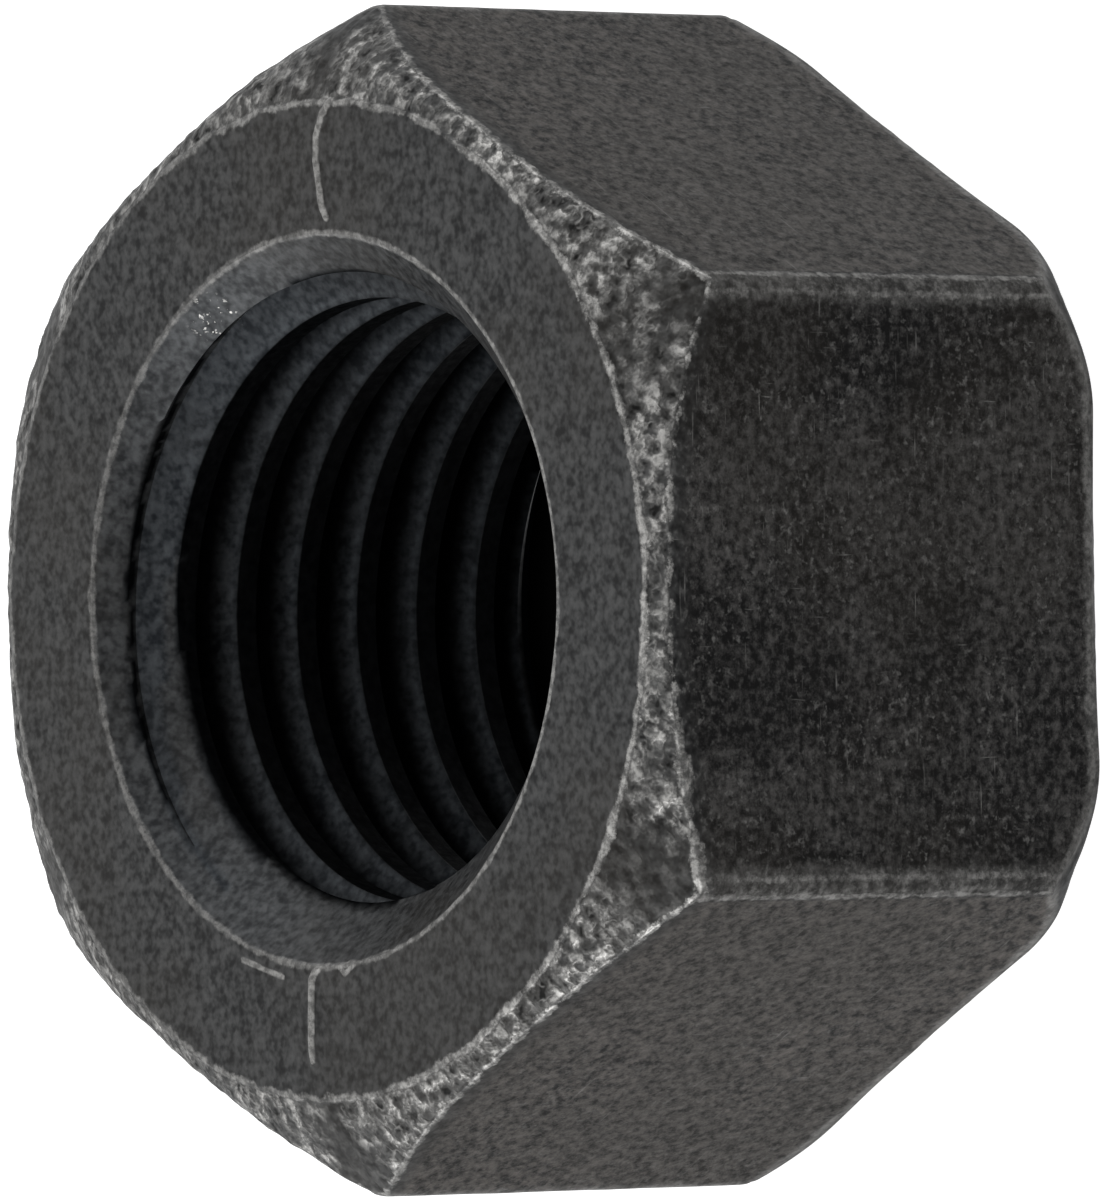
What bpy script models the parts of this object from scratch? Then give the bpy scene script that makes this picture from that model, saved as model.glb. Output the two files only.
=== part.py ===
"""Hex nut, M30 x 3.5, one forged and tapped piece of steel.

Frame: metres.  The origin is the centre of the bearing face, on the thread's axis.
+Z runs along the axis towards the marked face, +X towards a corner of the hexagon.
"""

from math import cos, pi, radians, sin, tan

import bmesh
import bpy
from mathutils import Matrix

# hexagon
ACROSS_FLATS = 0.0460
THICKNESS = 0.0256
CORNER_RADIUS = 0.0011
CORNER_SEGMENTS = 4

# chamfer of the marked face, as (radius, depth below the face), falling away towards the corners
MARKED_CHAMFER = ((0.02208, 0.0), (0.02300, 0.00046), (0.02381, 0.00088), (0.02507, 0.00178),
                  (0.02656, 0.00305))
# chamfer of the bearing face, as (radius, height), which only takes the corners off
BEARING_CHAMFER = ((0.02425, 0.0), (0.02555, 0.0011), (0.02635, 0.0027))
TURNED_STEPS = 120

# thread: a 60 degree profile, right-handed, 6H class
MAJOR_RADIUS = 0.01504
MINOR_RADIUS = 0.01338
PITCH = 0.0035
ROOT_FLAT = PITCH / 8
FLANK_ANGLE = radians(30.0)
CREST_HEIGHT_AT_X = 0.000525
THREAD_STEPS = 60
TAP_OVERRUN_TURNS = 2

# countersinks at both mouths of the bore
COUNTERSINK_RADIUS = 0.01615
COUNTERSINK_HALF_ANGLE = radians(45.0)

# two raised lines on the marked face, each as (radius, sideways offset) points
LINE_WIDTH = 0.00036
LINE_HEIGHT = 0.00015
LINE_ROOT = 0.0004
LINE_AT_PLUS_X = ((0.01685, -0.00095), (0.01745, -0.00062), (0.01900, -0.00036), (0.01995, -0.00028),
                  (0.02080, -0.00042), (0.02150, -0.00085), (0.02190, -0.00125))
LINE_AT_MINUS_X = ((0.01650, -0.00085), (0.01680, -0.00100), (0.01780, -0.00106), (0.01956, -0.00113),
                   (0.02030, -0.00098))

SPARE = 0.004
FAR_RADIUS = 0.034


def clear_scene():
    for item in list(bpy.data.objects):
        bpy.data.objects.remove(item, do_unlink=True)


def new_collection(name):
    group = bpy.data.collections.new(name)
    bpy.context.scene.collection.children.link(group)
    return group


def add_mesh(name, bm, group):
    mesh = bpy.data.meshes.new(name)
    bmesh.ops.recalc_face_normals(bm, faces=bm.faces[:])
    bm.to_mesh(mesh)
    bm.free()
    item = bpy.data.objects.new(name, mesh)
    group.objects.link(item)
    return item


def apply_modifiers(item):
    bpy.context.view_layer.update()
    evaluated = item.evaluated_get(bpy.context.evaluated_depsgraph_get())
    mesh = bpy.data.meshes.new_from_object(evaluated)
    old = item.data
    item.modifiers.clear()
    item.data = mesh
    bpy.data.meshes.remove(old)
    mesh.name = item.name


def profile_object(name, points, group):
    """An open line of (radius, height) points in the XZ plane, for a Screw modifier."""
    bm = bmesh.new()
    made = [bm.verts.new((radius, 0.0, height)) for radius, height in points]
    for first, second in zip(made, made[1:]):
        bm.edges.new((first, second))
    return add_mesh(name, bm, group)


def turned(name, points, group, steps=TURNED_STEPS):
    """A solid of revolution: the profile runs down its outer side from axis to axis."""
    item = profile_object(name, points, group)
    screw = item.modifiers.new("turn", "SCREW")
    screw.axis = "Z"
    screw.angle = 2 * pi
    screw.steps = screw.render_steps = steps
    screw.use_merge_vertices = True
    screw.merge_threshold = 1e-6
    apply_modifiers(item)
    return item


def hexagon(group):
    """A tall hexagonal bar with rounded edges, one corner towards +X."""
    bm = bmesh.new()
    corner = ACROSS_FLATS / 2 / cos(pi / 6)
    height = THICKNESS + 2 * SPARE
    bmesh.ops.create_cone(bm, cap_ends=True, segments=6, radius1=corner, radius2=corner, depth=height,
                          matrix=Matrix.Translation((0.0, 0.0, THICKNESS / 2)))
    first = min(abs((vert.co.x ** 2 + vert.co.y ** 2) ** 0.5 - vert.co.x) for vert in bm.verts)
    if first > 1e-6:
        bmesh.ops.rotate(bm, verts=bm.verts[:], cent=(0.0, 0.0, 0.0), matrix=Matrix.Rotation(pi / 6, 3, "Z"))
    upright = [edge for edge in bm.edges if abs(edge.verts[0].co.z - edge.verts[1].co.z) > SPARE]
    bmesh.ops.bevel(bm, geom=upright, offset=CORNER_RADIUS * tan(pi / 6), offset_type="OFFSET",
                    segments=CORNER_SEGMENTS, profile=0.5, affect="EDGES")
    return add_mesh("hexagon", bm, group)


def face_envelope(group):
    """The turned blank: both faces with their chamfers."""
    far_depth = MARKED_CHAMFER[-1][1] + (FAR_RADIUS - MARKED_CHAMFER[-1][0])
    far_rise = BEARING_CHAMFER[-1][1] + (FAR_RADIUS - BEARING_CHAMFER[-1][0])
    points = [(0.0, THICKNESS)]
    points += [(radius, THICKNESS - depth) for radius, depth in MARKED_CHAMFER]
    points += [(FAR_RADIUS, THICKNESS - far_depth), (FAR_RADIUS, far_rise)]
    points += [*reversed(BEARING_CHAMFER), (0.0, 0.0)]
    return turned("face_envelope", points, group)


def tap(group):
    """The threaded plug that cuts the bore: a helical surface one profile high, closed on its axis."""
    depth = (MAJOR_RADIUS - MINOR_RADIUS) * tan(FLANK_ANGLE)
    crest_flat = PITCH - ROOT_FLAT - 2 * depth
    turns = round(THICKNESS / PITCH) + 2 * TAP_OVERRUN_TURNS
    base = CREST_HEIGHT_AT_X - TAP_OVERRUN_TURNS * PITCH
    steps_up = ((MINOR_RADIUS, -crest_flat / 2), (MINOR_RADIUS, crest_flat / 2),
                (MAJOR_RADIUS, crest_flat / 2 + depth), (MAJOR_RADIUS, crest_flat / 2 + depth + ROOT_FLAT),
                (MINOR_RADIUS, PITCH - crest_flat / 2))
    item = profile_object("tap", [(radius, base + rise) for radius, rise in reversed(steps_up)], group)
    screw = item.modifiers.new("turn", "SCREW")
    screw.axis = "Z"
    screw.angle = 2 * pi
    screw.screw_offset = PITCH
    screw.iterations = turns
    screw.steps = screw.render_steps = THREAD_STEPS
    screw.use_merge_vertices = True
    screw.merge_threshold = 1e-6
    apply_modifiers(item)
    bm = bmesh.new()
    bm.from_mesh(item.data)
    bmesh.ops.remove_doubles(bm, verts=bm.verts[:], dist=1e-6)
    middle = base + turns * PITCH / 2
    for low in (True, False):
        rim = [edge for edge in bm.edges if edge.is_boundary and (edge.verts[0].co.z < middle) == low]
        heights = [vert.co.z for edge in rim for vert in edge.verts]
        level = min(heights) - PITCH if low else max(heights) + PITCH
        grown = bmesh.ops.extrude_edge_only(bm, edges=rim)["geom"]
        ends = [part for part in grown if isinstance(part, bmesh.types.BMVert)]
        bmesh.ops.pointmerge(bm, verts=ends, merge_co=(0.0, 0.0, level))
    bmesh.ops.recalc_face_normals(bm, faces=bm.faces[:])
    bm.to_mesh(item.data)
    bm.free()
    return item


def countersink(name, group, marked):
    """A cone that opens one mouth of the bore, carried on past the face."""
    slope = tan(COUNTERSINK_HALF_ANGLE)
    apex = COUNTERSINK_RADIUS / slope
    wide = COUNTERSINK_RADIUS + SPARE * slope
    if marked:
        points = [(0.0, THICKNESS + SPARE), (wide, THICKNESS + SPARE), (0.0, THICKNESS - apex)]
    else:
        points = [(0.0, apex), (wide, -SPARE), (0.0, -SPARE)]
    return turned(name, points, group)


def raised_line(name, path, turn, group):
    """A narrow bar that follows a path over the marked face, sunk a little way into it."""
    bm = bmesh.new()
    left, right = [], []
    for index, (radius, offset) in enumerate(path):
        before, after = path[max(index - 1, 0)], path[min(index + 1, len(path) - 1)]
        along, across = after[0] - before[0], after[1] - before[1]
        length = (along ** 2 + across ** 2) ** 0.5
        side = (-across / length * LINE_WIDTH / 2, along / length * LINE_WIDTH / 2)
        left.append(bm.verts.new((radius + side[0], offset + side[1], THICKNESS - LINE_ROOT)))
        right.append(bm.verts.new((radius - side[0], offset - side[1], THICKNESS - LINE_ROOT)))
    outline = bm.faces.new(right + left[::-1])
    raised = bmesh.ops.extrude_face_region(bm, geom=[outline])["geom"]
    top = [part for part in raised if isinstance(part, bmesh.types.BMVert)]
    bmesh.ops.translate(bm, verts=top, vec=(0.0, 0.0, LINE_ROOT + LINE_HEIGHT))
    bmesh.ops.rotate(bm, verts=bm.verts[:], cent=(0.0, 0.0, 0.0), matrix=Matrix.Rotation(turn, 3, "Z"))
    return add_mesh(name, bm, group)


def boolean(item, operation, other):
    step = item.modifiers.new(other.name, "BOOLEAN")
    step.operation = operation
    step.solver = "EXACT"
    step.object = other
    apply_modifiers(item)


def tidy_mesh(item):
    bm = bmesh.new()
    bm.from_mesh(item.data)
    bmesh.ops.remove_doubles(bm, verts=bm.verts[:], dist=2e-6)
    bmesh.ops.dissolve_degenerate(bm, edges=bm.edges[:], dist=2e-6)
    bmesh.ops.triangulate(bm, faces=bm.faces[:])
    bm.to_mesh(item.data)
    bm.free()


def steel():
    material = bpy.data.materials.new("black_steel")
    material.use_nodes = True
    shader = next(node for node in material.node_tree.nodes if node.type == "BSDF_PRINCIPLED")
    shader.inputs["Base Color"].default_value = (0.06, 0.06, 0.062, 1.0)
    shader.inputs["Roughness"].default_value = 0.55
    shader.inputs["Metallic"].default_value = 0.8
    return material


def build():
    clear_scene()
    parts = new_collection("hex_nut")
    cutters = new_collection("cutters")

    body = hexagon(parts)
    body.name = "nut_body"
    boolean(body, "INTERSECT", face_envelope(cutters))
    for name, path, turn in (("line_plus_x", LINE_AT_PLUS_X, 0.0), ("line_minus_x", LINE_AT_MINUS_X, pi)):
        boolean(body, "UNION", raised_line(name, path, turn, cutters))
    boolean(body, "DIFFERENCE", countersink("marked_countersink", cutters, True))
    boolean(body, "DIFFERENCE", countersink("bearing_countersink", cutters, False))
    boolean(body, "DIFFERENCE", tap(cutters))
    tidy_mesh(body)

    body.data.materials.clear()
    body.data.materials.append(steel())
    body.data.shade_smooth()
    body.data.set_sharp_from_angle(angle=radians(25.0))
    for cutter in cutters.objects:
        cutter.hide_render = True
        cutter.display_type = "WIRE"


build()
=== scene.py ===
"""Looks of the hex nut: one forged, tapped piece of black steel, worn bright along its edges.

The mesh is two grids.  The outer one has a column for each angle round the axis, and rows that run
down the section: from the bore's rim on the marked face, over the chamfer and the flats, to the rim
on the bearing face.  The bore's wall has every second column, and rows that climb with the thread.
Lengths inside the shape code are millimetres.
"""

from math import atan, cos, pi, radians, sin, tan

import bpy
import numpy as np
from mathutils import Matrix, Vector, noise


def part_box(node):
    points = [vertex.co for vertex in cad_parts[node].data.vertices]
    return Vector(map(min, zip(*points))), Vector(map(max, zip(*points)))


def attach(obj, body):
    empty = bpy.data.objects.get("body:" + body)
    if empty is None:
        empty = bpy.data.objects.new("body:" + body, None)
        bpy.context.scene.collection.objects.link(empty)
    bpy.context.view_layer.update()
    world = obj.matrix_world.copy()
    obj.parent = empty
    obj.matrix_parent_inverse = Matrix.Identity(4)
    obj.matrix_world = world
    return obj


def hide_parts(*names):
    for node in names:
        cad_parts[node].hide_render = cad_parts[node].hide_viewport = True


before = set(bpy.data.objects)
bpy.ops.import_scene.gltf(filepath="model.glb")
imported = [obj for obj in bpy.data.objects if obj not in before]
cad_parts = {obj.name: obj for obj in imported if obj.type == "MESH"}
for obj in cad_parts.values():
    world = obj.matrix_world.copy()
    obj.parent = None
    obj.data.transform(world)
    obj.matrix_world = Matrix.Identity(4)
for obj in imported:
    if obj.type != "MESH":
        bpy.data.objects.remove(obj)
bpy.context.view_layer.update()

# one millimetre in metres, and the other way round; a texture's scale is its cycles in a mm * PER_MM
MM = 0.001
PER_MM = 1000.0

# ---------------------------------------------------------------- dimensions, mm
body_low, body_high = (np.array(corner) * PER_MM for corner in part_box("nut_body"))
HALF_FLATS = (body_high[1] - body_low[1]) / 2
THICKNESS = 25.6
CORNER_RADIUS = 1.1
FACE_RADIUS = 22.03
FACE_MARGIN = 0.55
RIM_RADIUS = 16.15
# the marked face dips by this much towards the bore's rim
RIM_DROP = 0.03
RIM_DROP_REACH = 0.30
# the broken edge round the bearing face, where its chamfer doesn't reach: up the flat, and inward
EDGE_BREAK = 0.50
EDGE_BREAK_INWARD = 0.35
# how far each edge of the section is rounded
CIRCLE_ROUND = 0.22
SHOULDER_ROUND = 0.20
FOOT_ROUND = 0.14

# the forged chamfer of the marked face sits off centre: its depth and its crown at each corner,
# from the corner at +X round to +Y
CHAMFER_AT_FLAT = 0.66
CHAMFER_AT_CORNER = 3.12
CHAMFER_POWER = 2.8
CORNER_DEPTH_SHARES = (1.32, 1.04, 1.00, 1.00, 0.72, 1.12)
CORNER_BULGES = (0.55, 0.25, 0.20, 0.20, 0.20, 0.22)
# unevenness of its two edges, as (amount, cycles in a mm, seed): the swell is a share of the depth
DEPTH_SWELL = (0.05, 0.35, 3)
DEPTH_WAVES = ((0.12, 0.9, 4), (0.05, 2.2, 7))
FACE_WAVES = ((0.12, 0.5, 5), (0.06, 1.7, 8))
# relief of the surface, as (cycles in a mm, seed), and its height on each part
PEBBLE = (1.5, 1)
LUMP = (0.45, 2)
CHAMFER_PEBBLES = 0.040
CHAMFER_LUMPS = 0.035
ROUND_PEBBLES = 0.020
FLAT_LUMPS = 0.018

# the bearing face's chamfer takes the corners off, less so at the four corners away from -Y
BEARING_RADIUS = 24.15
BEARING_REACH = 2.2
BEARING_HEIGHT = 2.75
BEARING_POWER = 1.5
BEARING_BULGE = 0.35
BEARING_SHARE = 0.55
BEARING_SWELL = (0.10, 0.3, 6)

PITCH = 3.5
MAJOR_RADIUS = 15.04
MINOR_RADIUS = 13.38
FLANK = tan(radians(30.0))
THREAD_DEPTH = (MAJOR_RADIUS - MINOR_RADIUS) * FLANK
ROOT_FLAT = PITCH / 8
CREST_FLAT = PITCH - ROOT_FLAT - 2 * THREAD_DEPTH
CREST_HEIGHT_AT_X = 0.525
CREST_INSET = 0.10
CREST_OUTSET = 0.12
SINK_SLOPE = tan(radians(45.0))
# the first turns keep this share of the painted light they would lose to painted shade, fading from one depth
# to the other
FIRST_TURN_LIGHT = 0.75
FIRST_TURN_END = 3.8
FIRST_TURN_START = 2.2
# how much of the thread's cool sheen, a painted tint of the bore's shade, the countersinks have
CONE_SHARE = 0.35

# raised lines on the marked face: points (x, y)
LINES = (
    ((22.0, -1.35), (21.3, -0.75), (20.4, -0.35), (19.3, -0.3), (17.4, -0.65), (16.85, -0.95)),
    ((-16.1, 0.3), (-16.4, 0.75), (-16.8, 1.0), (-19.5, 1.1), (-20.25, 1.0)),
)
LINE_HALF_WIDTH = 0.21
LINE_HEIGHT = 0.15
# worn marks beside the bore's rim, drawn and not raised: points (x, y)
SCUFFS = (
    ((-15.8, 5.8), (-16.3, 4.1), (-16.6, 3.0)),
    ((-16.15, -0.9), (-16.5, -1.3), (-16.15, -1.85)),
)
SCUFF_INSET = 0.07
# at the two upright edges beside the -Y flat, how far from the edge the worn band and its two
# bright lines run
BAND_SHIFT = 0.25
RIDGE_SHIFT = -0.38
SECOND_RIDGE_SHIFT = 0.50
SECOND_RIDGE_INSET = 0.05
# how far behind the -Y flat's plane a point still counts as on that flat
FRONT_DEPTH = 0.6
# a distance that counts as nowhere near
FAR = 9.0

# ---------------------------------------------------------------- other places, m, and the lens, mm
# a cluster of bright specks on the upper countersink, and how far it reaches, in full and at all
SPECKS_AT = (0.0128, 0.0082, 0.0246)
SPECKS_INNER = 0.9 * MM
SPECKS_OUTER = 1.6 * MM
TABLE_HOLE = 0.0205
TABLE_RADIUS = 6.0
TABLE_STEPS = 48
CAMERA_AIM = (0.00016, 0.00594, 0.00702)
CAMERA_DISTANCE = 0.68590
CAMERA_AZIMUTH = radians(-1.585)
CAMERA_ELEVATION = radians(40.235)
CAMERA_ROLL = radians(-90.0)
CAMERA_LENS = 455.56


# ---------------------------------------------------------------- columns and noise
def columns():
    """Angles round the axis: close together at the corners, and for longer where a line is raised."""
    fine, coarse, growth = 0.21, 0.62, 0.22
    beside_line, beside_corner = 3.6, 1.0
    half_sector = 30.0
    angles = []
    for sector in range(6):
        halves = []
        for side in (0, 1):
            reach = beside_line if (sector + side) % 3 == 0 else beside_corner
            walk, steps = 0.0, [0.0]
            while walk < half_sector:
                walk += min(coarse, fine + max(0.0, walk - reach) * growth)
                steps.append(walk)
            halves.append(np.array(steps) * (half_sector / steps[-1]))
        angles.append(sector * 60 + halves[0][:-1])
        angles.append(sector * 60 + 60 - halves[1][:0:-1])
    angles = np.concatenate(angles)
    if len(angles) % 2:
        angles = np.delete(angles, len(angles) // 2)
    return np.radians(angles)


ANGLES = columns()
COLUMNS = len(ANGLES)
# the angle between each column and the middle of the -Y flat
FROM_FRONT = np.abs((ANGLES + pi / 2 + pi) % (2 * pi) - pi)


def smooth(edge0, edge1, value):
    """A smooth step from 0 at edge0 to 1 at edge1."""
    step = np.clip((value - edge0) / (edge1 - edge0), 0.0, 1.0)
    return step * step * (3 - 2 * step)


def ripple(points, scale, seed):
    """Smooth noise about zero, one value a point."""
    shift = Vector((seed * 7.31, seed * 3.17, seed * 5.73))
    values = [noise.fractal(Vector(point) * scale + shift, 1.0, 2.0, 2) for point in points.reshape(-1, 3)]
    return np.array(values).reshape(points.shape[:-1])


def ring_ripple(scale, seed):
    """The same, one value a column, sampled on a circle."""
    ring = 24.0
    circle = np.stack([ring * np.cos(ANGLES), ring * np.sin(ANGLES), np.zeros(COLUMNS)], 1)
    return ripple(circle, scale, seed)


def ring_waves(*waves):
    """The sum of some waves, each given as (amount, cycles in a mm, seed), one value a column."""
    return sum(amount * ring_ripple(scale, seed) for amount, scale, seed in waves)


def path_distance(x, y, paths):
    """Distance to the nearest of the paths, never more than FAR."""
    best = np.full(x.shape, FAR)
    for path in paths:
        for (ax, ay), (bx, by) in zip(path, path[1:]):
            dx, dy = bx - ax, by - ay
            along = np.clip(((x - ax) * dx + (y - ay) * dy) / (dx * dx + dy * dy), 0.0, 1.0)
            best = np.minimum(best, np.hypot(x - ax - along * dx, y - ay - along * dy))
    return best


# ---------------------------------------------------------------- outer section
def hexagon_radius(angles):
    """Distance to the rounded hexagon, and the angle from the nearest corner."""
    from_corner = np.abs((angles + pi / 6) % (pi / 3) - pi / 6)
    flat = HALF_FLATS / np.cos(pi / 6 - from_corner)
    centre = (HALF_FLATS - CORNER_RADIUS) / cos(pi / 6)
    inside = np.maximum(CORNER_RADIUS ** 2 - (centre * np.sin(from_corner)) ** 2, 0.0)
    arc = centre * np.cos(from_corner) + np.sqrt(inside)
    tangent = atan(CORNER_RADIUS * 0.5 / (centre + CORNER_RADIUS * cos(pi / 6)))
    return np.where(from_corner < tangent, arc, flat), from_corner


HEX_RADIUS, FROM_CORNER = hexagon_radius(ANGLES)
# 1 at a corner, 0 in the middle of a flat
NEAR_CORNER = 1 - FROM_CORNER / (pi / 6)


def by_corner(values):
    """One value a column, from the values at the six corners."""
    return np.interp(np.degrees(ANGLES), np.arange(7) * 60.0, values + values[:1])


def bend(first, middle, last, count=4):
    """Points on a quadratic curve that rounds the corner at middle."""
    out = []
    for step in np.linspace(0.0, 1.0, count):
        out.append((1 - step) ** 2 * first + 2 * step * (1 - step) * middle + step ** 2 * last)
    return out


def toward(start, end, distance):
    """The point at a distance from start towards end, never past 45% of the way."""
    run = end - start
    length = np.linalg.norm(run, axis=1, keepdims=True)
    return start + run * np.minimum(distance / np.maximum(length, 1e-6), 0.45)


def span(start, end, fractions, bulge=0.0):
    """Points on the straight line from start to end, or on an arch over it."""
    run = end - start
    length = np.maximum(np.linalg.norm(run, axis=1, keepdims=True), 1e-6)
    outward = np.stack([-run[:, 1], run[:, 0]], 1) / length
    lift = outward * np.reshape(bulge, (-1, 1))
    return [start + run * share + lift * 4 * share * (1 - share) for share in fractions]


def between(count):
    """That many even fractions, without the two ends."""
    return np.linspace(0.0, 1.0, count + 2)[1:-1]


def section_corners():
    """The corners of the section in every column, as (radius, height), from rim to rim."""
    ones = np.ones(COLUMNS)
    corner_depth = CHAMFER_AT_CORNER * by_corner(CORNER_DEPTH_SHARES)
    depth = CHAMFER_AT_FLAT + (corner_depth - CHAMFER_AT_FLAT) * NEAR_CORNER ** CHAMFER_POWER
    depth = depth * (1 + ring_waves(DEPTH_SWELL)) + ring_waves(*DEPTH_WAVES)
    face = np.minimum(FACE_RADIUS + ring_waves(*FACE_WAVES), HEX_RADIUS - FACE_MARGIN)
    cut = np.maximum(HEX_RADIUS - BEARING_RADIUS, 0.0)
    full = np.where(FROM_FRONT < pi / 3, 1.0, BEARING_SHARE)
    foot_height = BEARING_HEIGHT * (cut / BEARING_REACH) ** BEARING_POWER * full
    foot_height = np.hypot(foot_height, EDGE_BREAK) * (1 + ring_waves(BEARING_SWELL))
    inset = np.hypot(cut * full, EDGE_BREAK_INWARD)
    return {
        "rim": np.stack([RIM_RADIUS * ones, THICKNESS * ones], 1),
        "circle": np.stack([face, THICKNESS * ones], 1),
        "shoulder": np.stack([HEX_RADIUS, THICKNESS - depth], 1),
        "foot": np.stack([HEX_RADIUS, foot_height], 1),
        "heel": np.stack([HEX_RADIUS - inset, 0 * ones], 1),
        "back_rim": np.stack([RIM_RADIUS * ones, 0 * ones], 1),
    }


def outer_rows(corners):
    """Rows of (radius, height) for every column, from rim to rim, and the name of each row's stretch."""
    rim, circle, shoulder, foot, heel, back_rim = corners.values()
    circle_in, circle_out = (toward(circle, end, CIRCLE_ROUND) for end in (rim, shoulder))
    shoulder_in, shoulder_out = (toward(shoulder, end, SHOULDER_ROUND) for end in (circle, foot))
    foot_in, foot_out = (toward(foot, end, FOOT_ROUND) for end in (shoulder, heel))
    heel_in, heel_out = (toward(heel, end, FOOT_ROUND) for end in (foot, back_rim))
    chamfer_bulge = by_corner(CORNER_BULGES) * NEAR_CORNER
    bevel_bulge = BEARING_BULGE * NEAR_CORNER ** 2
    across_face = np.concatenate([np.linspace(0.0, 0.14, 7)[:-1], np.linspace(0.14, 1.0, 15)[:-1]])
    stretches = (
        ("face", span(rim, circle_in, across_face)),
        ("circle", bend(circle_in, circle, circle_out)),
        ("chamfer", span(circle_out, shoulder_in, between(13), chamfer_bulge)),
        ("shoulder", bend(shoulder_in, shoulder, shoulder_out)),
        ("flat", span(shoulder_out, foot_in, between(20))),
        ("foot", bend(foot_in, foot, foot_out)),
        ("bevel", span(foot_out, heel_in, between(4), bevel_bulge)),
        ("heel", bend(heel_in, heel, heel_out)),
        ("bearing", span(heel_out, back_rim, np.linspace(0.0, 1.0, 8)[1:])),
    )
    rows = [row for _, made in stretches for row in made]
    names = [name for name, made in stretches for _ in made]
    return np.array(rows), np.array(names)


# ---------------------------------------------------------------- wear and relief of the outer grid
def wear_distances(section, corners, on_face, on_side):
    """Distances from each point to the edges and marks that wear, in mm, by attribute name."""
    radius, height = section[:, :, 0], section[:, :, 1]
    x, y = radius * np.cos(ANGLES), radius * np.sin(ANGLES)

    def edge_distance(name):
        return np.hypot(radius - corners[name][:, 0], height - corners[name][:, 1])

    # on the -Y flat the chamfer's outline is worn more towards -X, as if it were nearer, and less elsewhere
    shift = np.interp(x, (-12.0, -8.0, -5.0), (-0.14, -0.12, 0.12))
    shift = np.where(FROM_FRONT < pi / 6, shift, 0.0)

    # upright edges: one line in the middle of the round, except at the two edges beside the -Y flat
    tangential = HEX_RADIUS * np.sin(FROM_CORNER)
    beside_front = FROM_FRONT < pi / 3
    leaning = tangential * np.where(FROM_FRONT < pi / 6, 1.0, -1.0)
    upright = np.abs(np.where(beside_front, leaning - BAND_SHIFT, tangential))
    second_ridge = np.abs(leaning - SECOND_RIDGE_SHIFT) + SECOND_RIDGE_INSET
    ridge = np.minimum(np.abs(leaning - RIDGE_SHIFT), second_ridge)
    ridge = np.where(beside_front, ridge, np.abs(tangential))

    line = np.where(on_face, path_distance(x, y, LINES), FAR)
    scuff = np.where(on_face, path_distance(x, y, SCUFFS) + SCUFF_INSET, FAR)
    return {
        "to_circle": edge_distance("circle"),
        "to_rim": edge_distance("rim"),
        "to_shoulder": edge_distance("shoulder") + shift,
        "to_foot": np.minimum(edge_distance("foot"), edge_distance("heel")),
        "to_upright": np.where(on_side, upright, FAR),
        "to_ridge": np.where(on_side, ridge, FAR),
        "to_line": np.minimum(line, scuff),
        "raised": line,
    }


def outward_normals(section):
    """Unit normals of the turned section, one a point."""
    run = np.zeros_like(section)
    run[1:-1] = section[2:] - section[:-2]
    run[0], run[-1] = section[1] - section[0], section[-1] - section[-2]
    run /= np.maximum(np.linalg.norm(run, axis=2, keepdims=True), 1e-9)
    out_radius, out_height = -run[:, :, 1], run[:, :, 0]
    return np.stack([out_radius * np.cos(ANGLES), out_radius * np.sin(ANGLES), out_height], 2)


def outer_points(section, names, wear, on_face, on_side):
    """The outer grid's points: the section turned, with lumps, pebbles and the raised lines."""
    radius, height = section[:, :, 0], section[:, :, 1]
    points = np.stack([radius * np.cos(ANGLES), radius * np.sin(ANGLES), height], 2)
    pebble, lump = ripple(points, *PEBBLE), ripple(points, *LUMP)
    inner = smooth(0.0, 0.5, np.minimum(wear["to_circle"], wear["to_shoulder"]))
    on_chamfer = (names == "chamfer")[:, None]
    on_rounds = np.isin(names, ("circle", "shoulder", "foot", "heel"))[:, None]
    lift = on_chamfer * inner * (CHAMFER_PEBBLES * pebble + CHAMFER_LUMPS * lump)
    lift += on_rounds * ROUND_PEBBLES * pebble
    lift += on_side * FLAT_LUMPS * lump
    lift += LINE_HEIGHT * smooth(LINE_HALF_WIDTH + 0.05, 0.04, wear["raised"]) * (1 + 0.25 * pebble)
    lift[0] = lift[-1] = 0.0
    lift -= on_face * RIM_DROP * smooth(RIM_DROP_REACH, 0.0, wear["to_rim"])
    return points + outward_normals(section) * lift[:, :, None]


# ---------------------------------------------------------------- bore
def bore_thread(angles, heights):
    """The thread's radius, before the countersinks."""
    away = np.abs(above_crest(angles, heights))
    return MINOR_RADIUS + np.clip((away - CREST_FLAT / 2) / FLANK, 0.0, MAJOR_RADIUS - MINOR_RADIUS)


def above_crest(angles, heights):
    """Height above the middle of the nearest crest."""
    crest = CREST_HEIGHT_AT_X + PITCH * angles / (2 * pi)
    return (heights - crest + PITCH / 2) % PITCH - PITCH / 2


def bore_radius(angles, heights):
    """The wall's radius: thread, opened by a countersink at both mouths."""
    upper = RIM_RADIUS - (THICKNESS - heights) * SINK_SLOPE
    lower = RIM_RADIUS - heights * SINK_SLOPE
    return np.maximum(bore_thread(angles, heights), np.maximum(upper, lower))


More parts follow.
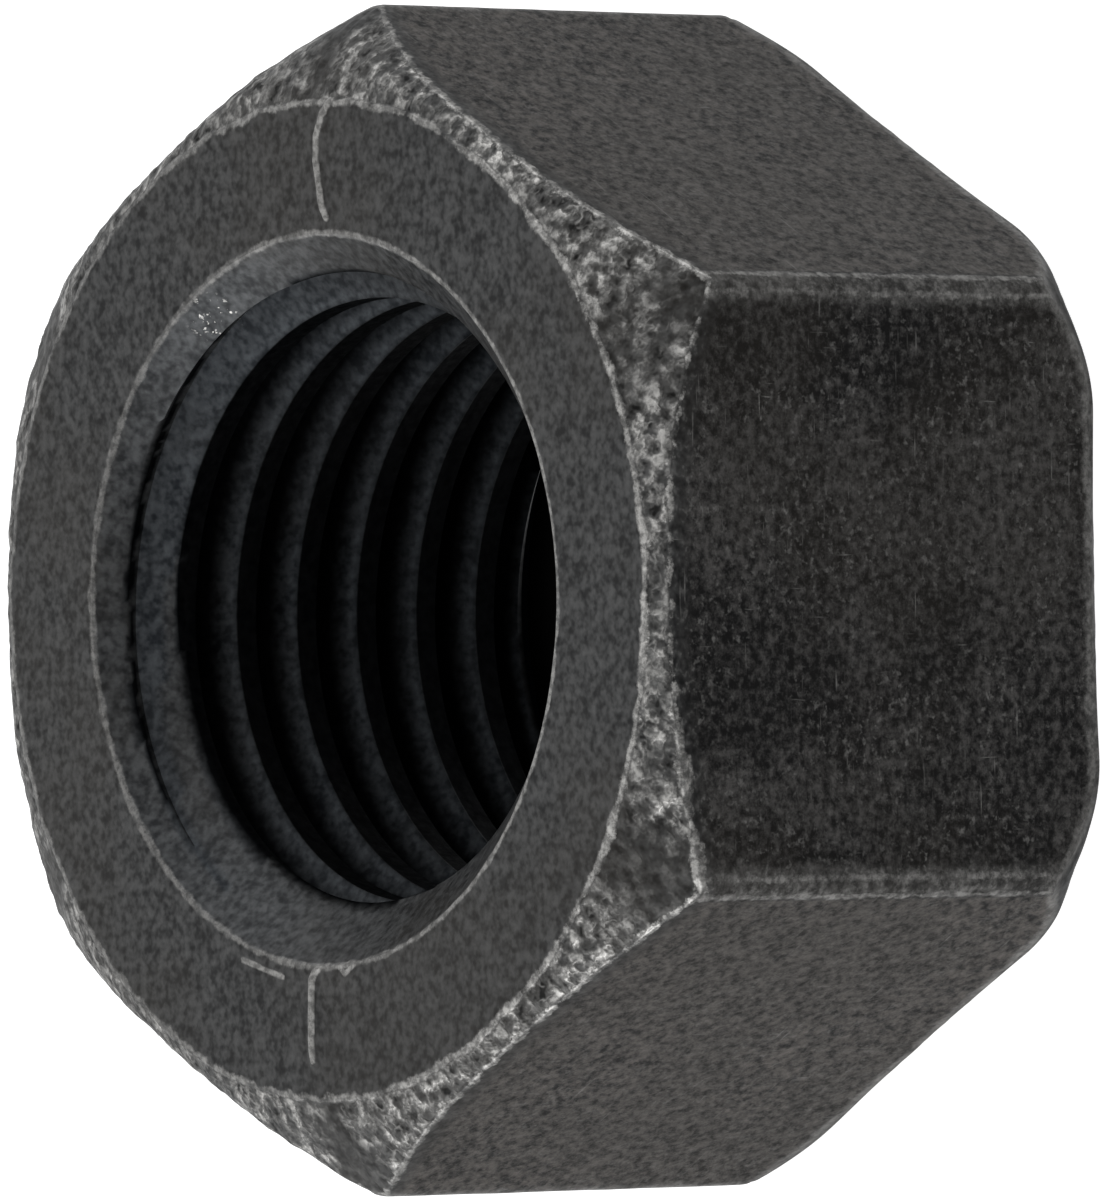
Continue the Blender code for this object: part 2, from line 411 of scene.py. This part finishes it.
def bore_rows():
    """The bore's angles, the heights of its helical rows, low to high, and the rows in one pitch."""
    angles = ANGLES[::2]
    half, depth = CREST_FLAT / 2, THREAD_DEPTH
    root_end = half + depth + ROOT_FLAT
    offsets = [-half, -half + CREST_INSET, 0.0, half - CREST_INSET, half, half + CREST_OUTSET]
    offsets += [half + depth * share for share in (0.40, 0.70, 1.0)]
    offsets += [half + depth + ROOT_FLAT * 0.5, root_end]
    offsets += [root_end + depth * share for share in (0.33, 0.67)]
    offsets += [PITCH - half - CREST_OUTSET]
    turns = range(-2, int(THICKNESS / PITCH) + 2)
    starts = [CREST_HEIGHT_AT_X + PITCH * turn + offset for turn in turns for offset in offsets]
    heights = np.array(starts)[:, None] + PITCH * angles[None, :] / (2 * pi)

    # rows that pass close to the end of a countersink are moved onto it
    snap = 0.13
    places = np.arange(len(angles))
    for thread_radius in (MAJOR_RADIUS, MINOR_RADIUS):
        level = (RIM_RADIUS - thread_radius) / SINK_SLOPE
        for target in (level, THICKNESS - level):
            nearest = np.abs(heights - target).argmin(axis=0)
            close = np.abs(heights[nearest, places] - target) < snap
            heights[nearest[close], places[close]] = target
    return angles, np.clip(heights, 0.0, THICKNESS), len(offsets)


def bore_light(angles, heights, cone):
    """Painted light on the wall: how much of its colour it keeps.

    All of it on the upper countersink, most along each crest's upper edge as a painted highlight, little in
    the grooves as painted shade, and none on the lower countersink, painted black as shade.
    """
    above = above_crest(angles, heights)
    half, depth = CREST_FLAT / 2, THREAD_DEPTH
    offsets = (half - CREST_INSET, half, half + CREST_OUTSET,
               half + 0.33 * depth, half + 0.67 * depth, half + depth)
    # painted shade in the grooves, painted highlight along each crest's upper edge
    lit = np.interp(above, offsets, (0.06, 0.55, 0.90, 0.60, 0.08, 0.02))
    first_turn = smooth(FIRST_TURN_END, FIRST_TURN_START, THICKNESS - heights) * (above > half)
    lit = lit + (1 - lit) * first_turn * FIRST_TURN_LIGHT
    return np.where(cone, np.where(heights > THICKNESS / 2, 1.0, 0.0), lit)


# ---------------------------------------------------------------- faces
def outer_faces(ids):
    """Quads between each two neighbouring rows of the outer grid."""
    following = np.roll(np.arange(COLUMNS), -1)
    faces = [np.stack([a, b, b[following], a[following]], 1) for a, b in zip(ids, ids[1:])]
    return np.concatenate(faces).tolist()


def wall_faces(ids, per_pitch):
    """Faces of the bore's wall; after one turn round the axis a row meets the one a pitch higher."""
    rows, columns_here = ids.shape
    faces = []
    for row in range(rows - 1):
        for column in range(columns_here):
            if column < columns_here - 1:
                other, beside = column + 1, row
            else:
                other, beside = 0, row + per_pitch
            if beside + 1 >= rows:
                continue
            around = (ids[row, column], ids[beside, other], ids[beside + 1, other], ids[row + 1, column])
            unique = [int(number) for number in dict.fromkeys(around)]
            if len(unique) > 2:
                faces.append(unique)
    return faces


def rim_faces(ids, flip):
    """Triangles at a rim, where the outer grid has two columns for each one of the wall's."""
    faces = []
    for column in range(0, COLUMNS, 2):
        triangle = [int(ids[(column + step) % COLUMNS]) for step in range(3)]
        faces.append(triangle[::-1] if flip else triangle)
    return faces


def build_nut():
    corners = section_corners()
    section, names = outer_rows(corners)
    on_face = np.isin(names, ("face", "circle"))[:, None]
    on_side = np.isin(names, ("shoulder", "flat", "foot"))[:, None]
    wear = wear_distances(section, corners, on_face, on_side)
    points = outer_points(section, names, wear, on_face, on_side)
    top_level = THICKNESS - RIM_DROP
    points[0, :, 2] = top_level

    angles, heights, per_pitch = bore_rows()
    wall = bore_radius(angles[None, :], heights)
    wall_points = np.stack([wall * np.cos(angles), wall * np.sin(angles), np.minimum(heights, top_level)], 2)

    # numbering: outer grid, then wall; wall points past a rim fold into that rim's own points
    outer_ids = np.arange(len(section) * COLUMNS).reshape(-1, COLUMNS)
    past_top, past_bottom = heights >= THICKNESS - 1e-6, heights <= 1e-6
    inside = ~past_top & ~past_bottom
    count = inside.sum()
    wall_ids = np.zeros(heights.shape, int)
    wall_ids[inside] = outer_ids.size + np.arange(count)
    wall_ids = np.where(past_top, outer_ids[0, ::2], wall_ids)
    wall_ids = np.where(past_bottom, outer_ids[-1, ::2], wall_ids)
    faces = outer_faces(outer_ids) + wall_faces(wall_ids, per_pitch)
    faces += rim_faces(outer_ids[0], False) + rim_faces(outer_ids[-1], True)

    mesh = bpy.data.meshes.new("nut_visual")
    vertices = np.concatenate([points.reshape(-1, 3), wall_points[inside]])
    mesh.from_pydata((vertices * MM).tolist(), [], faces)
    mesh.validate()

    # attributes that the material reads
    def write(name, outer, inner):
        """One number a point: outer fills the outer grid, inner the wall."""
        layer = mesh.attributes.new(name, "FLOAT", "POINT")
        outer = np.broadcast_to(outer, outer_ids.shape).ravel()
        values = np.concatenate([outer, np.broadcast_to(inner, (count,))])
        layer.data.foreach_set("value", values.astype(np.float32))

    wall_angle = np.broadcast_to(angles[None, :], heights.shape)[inside]
    wall_height, wall_radius = heights[inside], wall[inside]
    wall_to_rim = np.hypot(wall_radius - RIM_RADIUS, THICKNESS - wall_height)
    cone = wall_radius > bore_thread(wall_angle, wall_height) + 1e-4
    for name in ("to_circle", "to_shoulder", "to_foot", "to_upright", "to_ridge", "to_line"):
        write(name, np.minimum(wear[name], FAR), FAR)
    write("to_rim", np.minimum(wear["to_rim"], FAR), np.minimum(wall_to_rim, FAR))
    write("from_corner", HEX_RADIUS * np.sin(FROM_CORNER), FAR)
    scaly = names == "chamfer"
    scaly[np.flatnonzero(scaly)[[0, -1]] + (-1, 1)] = True
    write("chamfer", scaly[:, None], 0.0)
    write("side", np.isin(names, ("flat", "foot"))[:, None], 0.0)
    section_y = section[:, :, 0] * np.sin(ANGLES)
    write("front", on_side & (section_y < -HALF_FLATS + FRONT_DEPTH), 0.0)
    # the bore's share of the painted cool shade tint
    write("bore", 0.0, np.where(cone, CONE_SHARE, 1.0))
    # painted shade: the outer grid's last row, at the bearing face's rim, is unlit
    above_last_row = np.arange(len(section)) < len(section) - 1
    write("lit", above_last_row[:, None], bore_light(wall_angle, wall_height, cone))

    nut = bpy.data.objects.new("hex_nut", mesh)
    bpy.context.scene.collection.objects.link(nut)
    mesh.shade_smooth()
    mesh.set_sharp_from_angle(angle=radians(50.0))
    return nut


# ---------------------------------------------------------------- material
# wear of each kind of edge, by the attribute that holds the distance to it: how wide it is in full
# and how far it fades (mm), how bare it gets, how ragged its border is (mm), how much of it is broken
WEAR = {
    "to_circle": (0.03, 0.22, 1.00, 0.55, 0.45),
    "to_rim": (0.08, 0.16, 0.66, 0.35, 0.50),
    "to_shoulder": (0.04, 0.24, 1.00, 0.90, 0.75),
    "to_foot": (0.20, 0.40, 0.45, 0.70, 0.60),
    "to_line": (0.15, 0.10, 0.95, 0.10, 0.15),
    "to_upright": (0.35, 0.50, 0.42, 0.70, 0.40),
    "to_ridge": (0.06, 0.18, 0.62, 0.45, 0.70),
}
SKIN_DARK = (0.002, 0.002, 0.0022)
FACE_PALE = (0.051, 0.051, 0.050)
SIDE_PALE = (0.076, 0.062, 0.051)
FRONT_PALE = (0.085, 0.079, 0.074)
CLOUD_BROWN = (0.032, 0.027, 0.021)
PEPPER_BLACK = (0.004, 0.004, 0.0042)
UNLIT_BLACK = (0.0006, 0.0008, 0.0011)
PIT_BLACK = (0.001, 0.001, 0.001)
STEEL_DULL = (0.24, 0.235, 0.225)
STEEL_BRIGHT = (0.60, 0.585, 0.56)
PLAIN_SHEEN = (1.0, 1.0, 1.0)
PAINTED_SHADE_COOL_SHEEN = (0.74, 0.86, 1.0)


class Graph:
    """Small helper that wires shader nodes."""

    def __init__(self, name):
        self.material = bpy.data.materials.new(name)
        self.material.use_nodes = True
        self.tree = self.material.node_tree
        self.shader = next(node for node in self.tree.nodes if node.type == "BSDF_PRINCIPLED")
        self.coordinates = self.node("ShaderNodeTexCoord").outputs["Object"]

    def put(self, socket, value):
        if isinstance(value, bpy.types.NodeSocket):
            self.tree.links.new(value, socket)
        else:
            socket.default_value = value

    def node(self, kind, **settings):
        made = self.tree.nodes.new(kind)
        for key, value in settings.items():
            setattr(made, key, value)
        return made

    def attribute(self, name):
        return self.node("ShaderNodeAttribute", attribute_name=name).outputs["Fac"]

    def math(self, operation, *values):
        made = self.node("ShaderNodeMath", operation=operation)
        for socket, value in zip(made.inputs, values):
            self.put(socket, value)
        return made.outputs[0]

    def product(self, first, *others):
        for other in others:
            first = self.math("MULTIPLY", first, other)
        return first

    def highest(self, first, *others):
        for other in others:
            first = self.math("MAXIMUM", first, other)
        return first

    def scaled(self, value, factor, plus):
        """value * factor + plus"""
        return self.math("MULTIPLY_ADD", value, factor, plus)

    def without(self, value):
        """1 - value"""
        return self.math("SUBTRACT", 1.0, value)

    def blend(self, factor, first, second):
        """A number between first (factor 0) and second (factor 1)."""
        return self.scaled(factor, self.math("SUBTRACT", second, first), first)

    def ramp(self, value, low, high, out_low=0.0, out_high=1.0):
        """A smooth step from out_low, where value is low, to out_high, where it is high."""
        made = self.node("ShaderNodeMapRange", interpolation_type="SMOOTHSTEP")
        for socket, number in zip(made.inputs, (value, low, high, out_low, out_high)):
            self.put(socket, number)
        return made.outputs["Result"]

    def place(self, scale, rotation, turn_first=False):
        """The coordinates, scaled and turned; turned and then divided by the scale if turn_first."""
        made = self.node("ShaderNodeMapping", vector_type="TEXTURE" if turn_first else "POINT")
        made.inputs["Scale"].default_value = scale
        made.inputs["Rotation"].default_value = rotation
        self.tree.links.new(self.coordinates, made.inputs["Vector"])
        return made.outputs["Vector"]

    def noise(self, scale, detail=2.0, roughness=0.5, vector=None):
        made = self.node("ShaderNodeTexNoise")
        self.put(made.inputs["Vector"], vector or self.coordinates)
        made.inputs["Scale"].default_value = scale
        made.inputs["Detail"].default_value = detail
        made.inputs["Roughness"].default_value = roughness
        return made.outputs["Fac"]

    def warp(self, scale, reach):
        """The coordinates, pushed about by a noise."""
        made = self.node("ShaderNodeTexNoise")
        self.put(made.inputs["Vector"], self.coordinates)
        made.inputs["Scale"].default_value = scale
        push = self.node("ShaderNodeVectorMath", operation="MULTIPLY_ADD")
        self.put(push.inputs[0], made.outputs["Color"])
        push.inputs[1].default_value = (reach, reach, reach)
        self.put(push.inputs[2], self.coordinates)
        return push.outputs[0]

    def mix(self, factor, first, second):
        """A colour between first (factor 0) and second (factor 1), each a socket or (r, g, b)."""
        made = self.node("ShaderNodeMix", data_type="RGBA", clamp_factor=True)
        self.put(made.inputs["Factor"], factor)
        ends = [socket for socket in made.inputs if socket.type == "RGBA"]
        for socket, value in zip(ends, (first, second)):
            self.put(socket, (*value, 1.0) if isinstance(value, tuple) else value)
        return next(socket for socket in made.outputs if socket.type == "RGBA")


def skin_tone(g, side, front):
    """The oxide's light and dark grain: even on the face, drawn on the flats, blotched on the -Y flat, where
    its tone is also set lower as painted shade.
    """
    grain = g.noise(2.3 * PER_MM, 1.6, 0.60)
    drawn = g.noise(1.0, 3.0, 0.70, g.place((0.42 * MM, 0.62 * MM, 0.42 * MM), (-0.85, 0.0, 0.0), True))
    rolled = g.noise(2.0 * PER_MM, 3.0, 0.70)
    shade = g.ramp(g.noise(0.13 * PER_MM, 3.0, 0.55), 0.38, 0.62)
    coarse = g.noise(0.75 * PER_MM, 3.0, 0.65)
    face_grain = g.scaled(coarse, 0.35, g.product(grain, 0.65))
    side_grain = g.scaled(coarse, 0.20, g.product(drawn, 0.80))
    front_grain = g.scaled(shade, 0.09, g.scaled(coarse, 0.15, g.product(rolled, 0.80)))
    face_tone = g.ramp(face_grain, 0.33, 0.67)
    side_tone = g.ramp(side_grain, 0.34, 0.67)
    # on the -Y flat the tone is grain and painted shade: it sits darker than on the other flats
    front_tone_and_shade = g.ramp(front_grain, 0.40, 0.76, 0.04, 1.05)
    return g.blend(side, face_tone, g.blend(front, side_tone, front_tone_and_shade))


def worn_edges(g):
    """How bare each edge and raised line is rubbed; most on the -Y side, as the photograph shows."""
    rag = g.noise(1.7 * PER_MM, 4.0, 0.75)
    beads = g.noise(0.8 * PER_MM, 2.0, 0.6)
    broken = g.ramp(g.noise(1.1 * PER_MM, 4.0, 0.75), 0.36, 0.56)

    def worn(attribute):
        """How bare the surface is: most on the edge, 0 away from it, with a ragged and broken border."""
        width, soft, strength, ragged, gaps = WEAR[attribute]
        uneven = g.scaled(rag, ragged, -ragged * 0.5)
        wander = g.scaled(beads, ragged, -ragged * 0.5)
        shifted = g.math("ADD", g.math("ADD", g.attribute(attribute), uneven), wander)
        mask = g.ramp(shifted, width + soft, width, 0.0, strength)
        return g.product(mask, g.scaled(broken, gaps, 1.0 - gaps))

    edges = g.highest(*(worn(name) for name in ("to_circle", "to_rim", "to_shoulder", "to_foot", "to_line")))
    position = g.node("ShaderNodeSeparateXYZ")
    g.put(position.inputs[0], g.coordinates)
    edges = g.product(edges, g.ramp(position.outputs["Y"], 0.014, -0.020, 0.50, 1.0))

    # upright edges: a mottled band, about as wide as the edge is round, and bright lines in it
    mottled = g.ramp(g.noise(1.6 * PER_MM, 3.0, 0.7), 0.40, 0.64, 0.25, 1.0)
    return g.highest(edges, g.product(worn("to_upright"), mottled), worn("to_ridge"))


def chamfer_scale(g, chamfer):
    """Scale on the chamfer: where it is rough, its rubbed tops, its dark pits, and its bare metal."""
    scale = g.noise(1.5 * PER_MM, 2.0, 0.55, g.warp(2.4 * PER_MM, 0.25 * MM))
    drifts = g.ramp(g.noise(0.45 * PER_MM, 2.0, 0.5), 0.38, 0.62, 0.45, 1.0)
    off_ridge = g.math("ABSOLUTE", g.math("SUBTRACT", g.noise(1.6 * PER_MM, 1.5, 0.5), 0.5))
    ridged = g.ramp(g.noise(1.0 * PER_MM, 2.0, 0.6), 0.42, 0.60)
    ridges = g.product(g.ramp(off_ridge, 0.11, 0.0), ridged)
    tops = g.highest(g.ramp(scale, 0.44, 0.68), g.product(ridges, 0.42))
    # smoother patches lie at the corners
    off_corner = g.scaled(g.noise(0.30 * PER_MM, 2.0, 0.5), 6.0, g.attribute("from_corner"))
    roughness = g.ramp(off_corner, 3.6, 5.4, 0.15, 1.0)
    rough = g.product(chamfer, roughness)
    pits = g.product(rough, g.product(g.ramp(scale, 0.44, 0.30), g.without(ridges)), 0.75)
    rubbed = g.scaled(g.product(tops, drifts), 1.05, 0.08)
    bare = g.product(rough, rubbed, g.without(pits))
    return roughness, rough, tops, pits, bare


def rubbed_flats(g, side, front):
    """Small rubbed specks in drifts, and a few scratches, most of them on the -Y flat."""
    drift = g.ramp(g.noise(0.22 * PER_MM, 3.0, 0.55), 0.38, 0.62, 0.35, 1.0)
    specks = g.ramp(g.noise(2.3 * PER_MM, 2.5, 0.75), 0.53, 0.70)
    upright = g.place((350.0, 300.0, 5000.0), (0.0, 0.35, 0.0))
    across = g.place((5000.0, 300.0, 400.0), (0.0, -0.3, 0.0))
    scratches = g.highest(g.ramp(g.noise(1.0, 1.0, 0.5, upright), 0.70, 0.80),
                          g.ramp(g.noise(1.0, 1.0, 0.5, across), 0.72, 0.82))
    marks = g.highest(specks, g.product(scratches, 1.8))
    return g.product(marks, g.product(drift, g.scaled(front, 0.16, g.product(side, 0.14))))


def bright_specks(g):
    """The cluster of sparkling specks on the upper countersink."""
    away = g.node("ShaderNodeVectorMath", operation="DISTANCE")
    g.put(away.inputs[0], g.coordinates)
    away.inputs[1].default_value = SPECKS_AT
    cluster = g.ramp(away.outputs["Value"], SPECKS_OUTER, SPECKS_INNER)
    return g.product(cluster, g.ramp(g.noise(3.6 * PER_MM, 2.0, 0.6), 0.60, 0.68))


def black_steel():
    """Black oxide skin, worn to bare steel at the edges, on the chamfer's scale and in small marks."""
    g = Graph("worn_black_steel")
    chamfer, side, front, lit = (g.attribute(name) for name in ("chamfer", "side", "front", "lit"))
    tone = skin_tone(g, side, front)
    roughness, rough, tops, pits, chamfer_bare = chamfer_scale(g, chamfer)
    bare = g.highest(worn_edges(g), chamfer_bare, rubbed_flats(g, side, front), bright_specks(g))
    speckle = g.noise(3.0 * PER_MM, 3.0, 0.65)
    pepper = g.ramp(speckle, 0.35, 0.65)
    cloud = g.ramp(g.noise(0.10 * PER_MM, 3.0, 0.5), 0.40, 0.62)

    # colour
    pale = g.mix(side, FACE_PALE, g.mix(front, SIDE_PALE, FRONT_PALE))
    skin = g.mix(tone, SKIN_DARK, pale)
    skin = g.mix(g.product(cloud, 0.35), skin, CLOUD_BROWN)
    skin = g.mix(g.product(pepper, 0.30), skin, PEPPER_BLACK)
    # painted shade: the skin turns black where the wall is unlit
    skin = g.mix(lit, UNLIT_BLACK, skin)
    skin = g.mix(pits, skin, PIT_BLACK)
    steel = g.mix(pepper, STEEL_DULL, STEEL_BRIGHT)
    g.put(g.shader.inputs["Base Color"], g.mix(bare, skin, steel))
    g.put(g.shader.inputs["Metallic"], g.product(bare, 0.75))

    # gloss: less in the dark grain and the pits, on the chamfer, and deep in the bore, where it is painted
    # shade
    matt = g.ramp(speckle, 0.3, 0.7, 0.40, 0.54)
    g.put(g.shader.inputs["Roughness"], g.math("SUBTRACT", matt, g.product(bare, 0.15)))
    sheen = g.scaled(tone, g.blend(side, 0.34, 0.66), g.blend(side, 0.30, 0.15))
    dulled = g.product(chamfer, g.ramp(roughness, 0.15, 1.0, 0.55, 0.36))
    sheen = g.product(sheen, g.without(pits), g.without(dulled), lit)
    g.put(g.shader.inputs["Specular IOR Level"], sheen)
    # painted shade tint: the bore's reflections are cooled, standing for the blue of its shade
    g.put(g.shader.inputs["Specular Tint"], g.mix(g.attribute("bore"), PLAIN_SHEEN, PAINTED_SHADE_COOL_SHEEN))

    # relief: fine grain everywhere, waves on the flats, pebbles on the chamfer; heights in mm
    height = g.product(speckle, g.scaled(chamfer, -0.012, 0.020))
    height = g.scaled(rough, g.scaled(tops, 0.11, -0.05), height)
    height = g.scaled(side, g.product(g.noise(0.7 * PER_MM, 3.0, 0.6), 0.05), height)
    bump = g.node("ShaderNodeBump")
    bump.inputs["Strength"].default_value = 1.0
    bump.inputs["Distance"].default_value = MM
    g.put(bump.inputs["Height"], height)
    g.put(g.shader.inputs["Normal"], bump.outputs["Normal"])
    return g.material


# ---------------------------------------------------------------- stage, light, camera
def glowing_material(name, grey, glow):
    material = bpy.data.materials.new(name)
    material.use_nodes = True
    shader = next(node for node in material.node_tree.nodes if node.type == "BSDF_PRINCIPLED")
    shader.inputs["Base Color"].default_value = (grey, grey, grey, 1.0)
    shader.inputs["Roughness"].default_value = 0.9
    shader.inputs["Specular IOR Level"].default_value = 0.1
    shader.inputs["Emission Color"].default_value = (1.0, 1.0, 1.0, 1.0)
    shader.inputs["Emission Strength"].default_value = glow
    return material


def add_table(name, vertices, faces, material):
    mesh = bpy.data.meshes.new(name)
    mesh.from_pydata(vertices, [], faces)
    mesh.materials.append(material)
    table = bpy.data.objects.new(name, mesh)
    bpy.context.scene.collection.objects.link(table)
    table.visible_diffuse = table.visible_glossy = False


def build_floor():
    """A light table that glows round the nut, and a dark centre inside the nut's own footprint, painted shade
    for the table in the nut's shadow as seen through the bore.
    """
    steps = range(TABLE_STEPS)
    turns = [2 * pi * step / TABLE_STEPS for step in steps]
    inner, outer = ([(radius * cos(turn), radius * sin(turn), 0.0) for turn in turns]
                    for radius in (TABLE_HOLE, TABLE_RADIUS))
    following = [(step + 1) % TABLE_STEPS for step in steps]
    around = [(step, TABLE_STEPS + step, TABLE_STEPS + other, other) for step, other in zip(steps, following)]
    add_table("light_table", inner + outer, around, glowing_material("light_table", 0.5, 0.95))
    # painted shade: a dark disc for the table in the nut's shadow, seen through the bore
    add_table("table_centre_painted_shade", inner, [tuple(steps)], glowing_material("table_centre_painted_shade", 0.01, 0.0))


# brightness of the tent by direction: from, to, level at from, level at to
TENT_BASE = 0.32
TENT_TILT = (-1.0, 1.0, 1.35, 0.65)
TENT_SIDES = (0.45, 0.95, 0.0, 1.7)
TENT_ABOVE_TABLE = (-0.10, 0.15, 0.0, 1.0)
TENT_BACK = (-0.2, 0.9, 0.0, 0.35)
TENT_TOP = (0.6, 1.0, 0.0, 0.40)


def light_scene():
    """A light tent: bright walls at both ends of the X axis, dimmer above, behind and in front."""
    world = bpy.data.worlds.new("light_tent")
    bpy.context.scene.world = world
    world.use_nodes = True
    tree = world.node_tree
    background = next(node for node in tree.nodes if node.type == "BACKGROUND")
    parts = tree.nodes.new("ShaderNodeSeparateXYZ")
    tree.links.new(tree.nodes.new("ShaderNodeTexCoord").outputs["Generated"], parts.inputs[0])

    def band(source, low, high, out_low, out_high):
        made = tree.nodes.new("ShaderNodeMapRange")
        made.interpolation_type = "SMOOTHSTEP"
        tree.links.new(source, made.inputs[0])
        for socket, number in zip(made.inputs[1:5], (low, high, out_low, out_high)):
            socket.default_value = number
        return made.outputs[0]

    def join(operation, first, second):
        made = tree.nodes.new("ShaderNodeMath")
        made.operation = operation
        for socket, value in zip(made.inputs, (first, second)):
            if isinstance(value, bpy.types.NodeSocket):
                tree.links.new(value, socket)
            else:
                socket.default_value = value
        return made.outputs[0]

    x, y, z = parts.outputs
    sides = join("MULTIPLY", band(join("ABSOLUTE", x, 0.0), *TENT_SIDES), band(z, *TENT_ABOVE_TABLE))
    sides = join("MULTIPLY", sides, band(x, *TENT_TILT))
    level = join("ADD", band(y, *TENT_BACK), sides)
    level = join("ADD", level, band(z, *TENT_TOP))
    tree.links.new(join("ADD", level, TENT_BASE), background.inputs["Strength"])
    background.inputs["Color"].default_value = (0.98, 0.99, 1.0, 1.0)
    settings = bpy.context.scene.view_settings
    settings.view_transform = "Standard"
    settings.look = "None"
    settings.exposure = 0.0
    settings.gamma = 1.0


def place_camera():
    """Seen from the -Y side, 40 degrees above the bearing plane, with the camera rolled onto its side."""
    level = cos(CAMERA_ELEVATION)
    back = Vector((sin(CAMERA_AZIMUTH) * level, -cos(CAMERA_AZIMUTH) * level, sin(CAMERA_ELEVATION)))
    data = bpy.data.cameras.new("camera")
    data.sensor_width = 36.0
    data.lens = CAMERA_LENS
    data.clip_start, data.clip_end = 0.01, 30.0
    camera = bpy.data.objects.new("camera", data)
    place = Matrix.Translation(Vector(CAMERA_AIM) + back * CAMERA_DISTANCE)
    turn = (-back).to_track_quat("-Z", "Y").to_matrix().to_4x4()
    camera.matrix_world = place @ turn @ Matrix.Rotation(CAMERA_ROLL, 4, "Z")
    bpy.context.scene.collection.objects.link(camera)
    bpy.context.scene.camera = camera


place_camera()
nut = build_nut()
nut.data.materials.append(black_steel())
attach(nut, "root")
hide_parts("nut_body")
build_floor()
light_scene()
